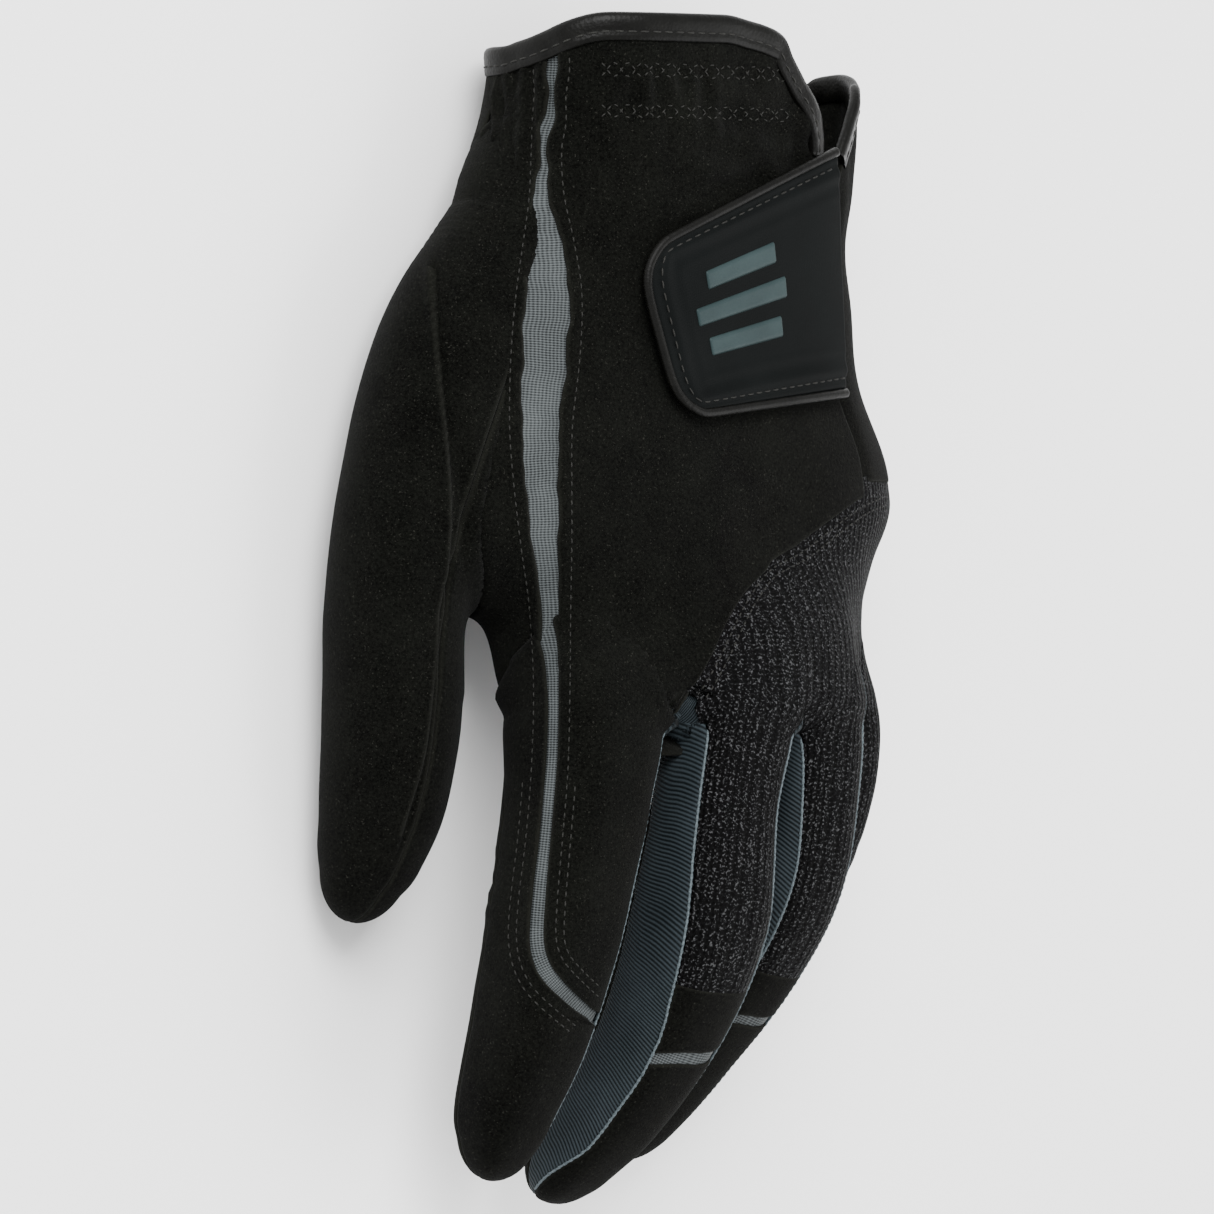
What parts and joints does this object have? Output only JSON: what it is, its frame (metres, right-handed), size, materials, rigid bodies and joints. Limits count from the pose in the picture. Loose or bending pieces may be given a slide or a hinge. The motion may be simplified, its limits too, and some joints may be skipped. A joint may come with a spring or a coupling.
{
  "type": "golf glove",
  "caption": "Left-hand golf glove in the shape of a relaxed hand, with a knitted knuckle panel, ribbed stretch insets between the fingers and a hook-and-loop tab across the wrist.",
  "frame": {"origin": "on the surface the glove lies on, in the middle of its box", "axes": "+Z the back of the hand, +Y the cuff, -Y the fingertips, +X the little-finger side"},
  "size_m": [0.1402, 0.2366, 0.0593],
  "materials": {
    "suede": "matte microsuede with a short nap",
    "knit_mesh": "open knitted mesh with vertical wales",
    "stretch_fabric": "slate grey ribbed stretch fabric",
    "binding": "smooth synthetic leather binding",
    "elastic": "woven elastic tape",
    "loop_pile": "looped pile",
    "hook_tape": "moulded hook tape",
    "tab_rubber": "soft matte rubberised face",
    "emblem": "raised matte print"
  },
  "bodies": {
    "hand": {"middle_mesh_panel": "knit_mesh", "middle_root_panel": "stretch_fabric", "ring_mesh_panel": "knit_mesh", "ring_root_panel": "stretch_fabric", "little_mesh_panel": "knit_mesh", "little_root_panel": "stretch_fabric", "index_root_back": "suede", "index_root_strip": "stretch_fabric", "index_root_panel": "suede", "back_panel": "suede", "closure_side_panel": "suede", "cuff_binding_back": "binding", "cuff_binding_palm": "binding", "cuff_binding_side": "binding", "cuff_elastic": "elastic", "knuckle_mesh_panel": "knit_mesh", "little_side_panel": "suede", "loop_patch": "loop_pile", "palm_panel": "suede", "slit_binding_back": "binding", "slit_binding_side": "binding", "stretch_strip": "stretch_fabric", "thumb_base_panel": "suede", "thumb_gusset": "suede", "thumb_side_panel": "suede"},
    "closure_tab": {"hook_patch": "hook_tape", "tab_backing": "suede", "tab_bar_1": "emblem", "tab_bar_2": "emblem", "tab_bar_3": "emblem", "tab_face": "tab_rubber", "tab_piping": "binding"},
    "thumb": {"thumb_back_panel": "suede", "thumb_palm_panel": "suede"},
    "index_finger": {"index_back_panel": "suede", "index_little_side_fourchette": "stretch_fabric", "index_palm_panel": "suede", "index_side_panel": "suede", "index_stretch_strip": "stretch_fabric", "index_tip_panel": "suede"},
    "middle_finger": {"middle_back_tip": "suede", "middle_little_side_fourchette": "stretch_fabric", "middle_mesh_end": "knit_mesh", "middle_palm_panel": "suede", "middle_thumb_side_fourchette": "stretch_fabric", "middle_middle_panel": "suede", "middle_knuckle_strip": "stretch_fabric"},
    "ring_finger": {"ring_back_tip": "suede", "ring_little_side_fourchette": "stretch_fabric", "ring_mesh_end": "knit_mesh", "ring_palm_panel": "suede", "ring_thumb_side_fourchette": "stretch_fabric", "ring_middle_panel": "suede", "ring_knuckle_strip": "stretch_fabric"},
    "little_finger": {"little_back_tip": "suede", "little_little_side_fourchette": "stretch_fabric", "little_mesh_end": "knit_mesh", "little_palm_panel": "suede", "little_thumb_side_fourchette": "stretch_fabric"}
  },
  "joints": [
    {"name": "tab_hinge", "type": "hinge", "parent": "hand", "child": "closure_tab", "pos_m": [0.04196, 0.06775, 0.04407], "axis": [-0.1288, 0.9891, 0.0717], "range_deg": [0, 150]},
    {"name": "thumb_bend", "type": "hinge", "parent": "hand", "child": "thumb", "pos_m": [-0.0591, -0.01445, 0.015], "axis": [0.7071, 0, 0.7071], "range_deg": [-10, 12]},
    {"name": "index_bend", "type": "hinge", "parent": "hand", "child": "index_finger", "pos_m": [-0.03337, -0.05868, 0.03399], "axis": [1, 0, 0], "range_deg": [-12, 16]},
    {"name": "middle_bend", "type": "hinge", "parent": "hand", "child": "middle_finger", "pos_m": [-0.00157, -0.06224, 0.04142], "axis": [1, 0, 0], "range_deg": [-28, 10]},
    {"name": "ring_bend", "type": "hinge", "parent": "hand", "child": "ring_finger", "pos_m": [0.03024, -0.05818, 0.03323], "axis": [1, 0, 0], "range_deg": [-36, 0]},
    {"name": "little_bend", "type": "hinge", "parent": "hand", "child": "little_finger", "pos_m": [0.05447, -0.04679, 0.01991], "axis": [1, 0, 0], "range_deg": [-18, 0]}
  ]
}
